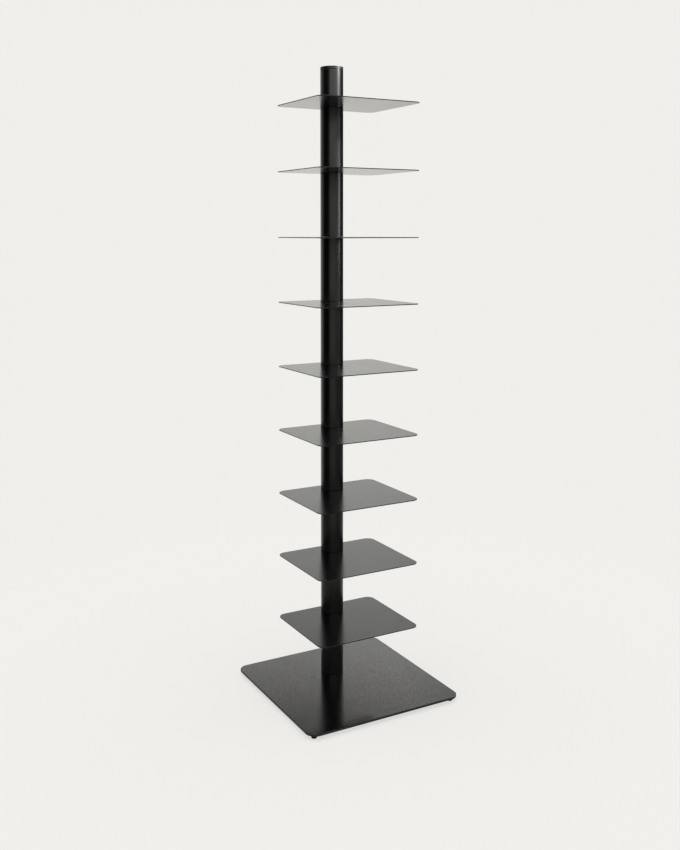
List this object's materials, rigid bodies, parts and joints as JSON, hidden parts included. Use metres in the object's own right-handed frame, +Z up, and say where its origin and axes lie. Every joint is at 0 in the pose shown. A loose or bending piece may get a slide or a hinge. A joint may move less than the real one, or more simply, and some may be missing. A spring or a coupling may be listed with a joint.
{
  "type": "column bookcase",
  "caption": "Free-standing column bookcase: thin steel shelves clamped at an even pitch between sections of a round column, on a square base plate with levelling feet.",
  "frame": {"origin": "middle of the square base on the floor, level with the undersides of the feet", "axes": "+Z up along the column, the front of the shelves towards -Y, +X to the right seen from the front"},
  "size_m": [0.4, 0.4, 1.5015],
  "materials": {
    "black_powder_coat": "near-black powder coat, satin and smooth enough for soft reflections",
    "zinc_plated_steel": "bright zinc plating",
    "bright_steel": "ground dowel steel, uncoated",
    "black_nylon": "moulded black nylon, satin"
  },
  "bodies": {
    "bookcase": {"base_plate": "black_powder_coat", "base_washer": "zinc_plated_steel", "base_nut": "zinc_plated_steel", "column_section_01": "black_powder_coat", "column_section_02": "black_powder_coat", "column_section_03": "black_powder_coat", "column_section_04": "black_powder_coat", "column_section_05": "black_powder_coat", "column_section_06": "black_powder_coat", "column_section_07": "black_powder_coat", "column_section_08": "black_powder_coat", "column_section_09": "black_powder_coat", "column_section_10": "black_powder_coat", "shelf_1": "black_powder_coat", "shelf_2": "black_powder_coat", "shelf_3": "black_powder_coat", "shelf_4": "black_powder_coat", "shelf_5": "black_powder_coat", "shelf_6": "black_powder_coat", "shelf_7": "black_powder_coat", "shelf_8": "black_powder_coat", "shelf_9": "black_powder_coat", "locating_pin_01": "bright_steel", "locating_pin_02": "bright_steel", "locating_pin_03": "bright_steel", "locating_pin_04": "bright_steel", "locating_pin_05": "bright_steel", "locating_pin_06": "bright_steel", "locating_pin_07": "bright_steel", "locating_pin_08": "bright_steel", "locating_pin_09": "bright_steel", "locating_pin_10": "bright_steel", "tie_rod_lower": "zinc_plated_steel", "tie_rod_upper": "zinc_plated_steel", "rod_coupling": "zinc_plated_steel", "top_washer": "zinc_plated_steel", "top_nut": "zinc_plated_steel", "end_cap": "black_nylon", "foot_nut_1": "zinc_plated_steel", "foot_nut_2": "zinc_plated_steel", "foot_nut_3": "zinc_plated_steel", "foot_nut_4": "zinc_plated_steel"},
    "foot_pad_1": {"foot_pad_1": "black_nylon"},
    "foot_screw_1": {"foot_screw_1": "zinc_plated_steel"},
    "foot_pad_2": {"foot_pad_2": "black_nylon"},
    "foot_screw_2": {"foot_screw_2": "zinc_plated_steel"},
    "foot_pad_3": {"foot_pad_3": "black_nylon"},
    "foot_screw_3": {"foot_screw_3": "zinc_plated_steel"},
    "foot_pad_4": {"foot_pad_4": "black_nylon"},
    "foot_screw_4": {"foot_screw_4": "zinc_plated_steel"}
  },
  "joints": [
    {"name": "foot_1_height", "type": "slide", "parent": "bookcase", "child": "foot_pad_1", "axis": [0, 0, -1], "range_m": [0, 0.004]},
    {"name": "foot_1_turn", "type": "hinge", "parent": "foot_pad_1", "child": "foot_screw_1", "pos_m": [-0.1815, -0.1815, 0], "axis": [0, 0, -1], "range_deg": [0, 1440]},
    {"name": "foot_2_height", "type": "slide", "parent": "bookcase", "child": "foot_pad_2", "axis": [0, 0, -1], "range_m": [0, 0.004]},
    {"name": "foot_2_turn", "type": "hinge", "parent": "foot_pad_2", "child": "foot_screw_2", "pos_m": [0.1815, -0.1815, 0], "axis": [0, 0, -1], "range_deg": [0, 1440]},
    {"name": "foot_3_height", "type": "slide", "parent": "bookcase", "child": "foot_pad_3", "axis": [0, 0, -1], "range_m": [0, 0.004]},
    {"name": "foot_3_turn", "type": "hinge", "parent": "foot_pad_3", "child": "foot_screw_3", "pos_m": [0.1815, 0.1815, 0], "axis": [0, 0, -1], "range_deg": [0, 1440]},
    {"name": "foot_4_height", "type": "slide", "parent": "bookcase", "child": "foot_pad_4", "axis": [0, 0, -1], "range_m": [0, 0.004]},
    {"name": "foot_4_turn", "type": "hinge", "parent": "foot_pad_4", "child": "foot_screw_4", "pos_m": [-0.1815, 0.1815, 0], "axis": [0, 0, -1], "range_deg": [0, 1440]}
  ],
  "couplings": [
    {"joint": "foot_1_turn", "follows": "foot_1_height", "rad_per_m": 6283.2},
    {"joint": "foot_2_turn", "follows": "foot_2_height", "rad_per_m": 6283.2},
    {"joint": "foot_3_turn", "follows": "foot_3_height", "rad_per_m": 6283.2},
    {"joint": "foot_4_turn", "follows": "foot_4_height", "rad_per_m": 6283.2}
  ]
}
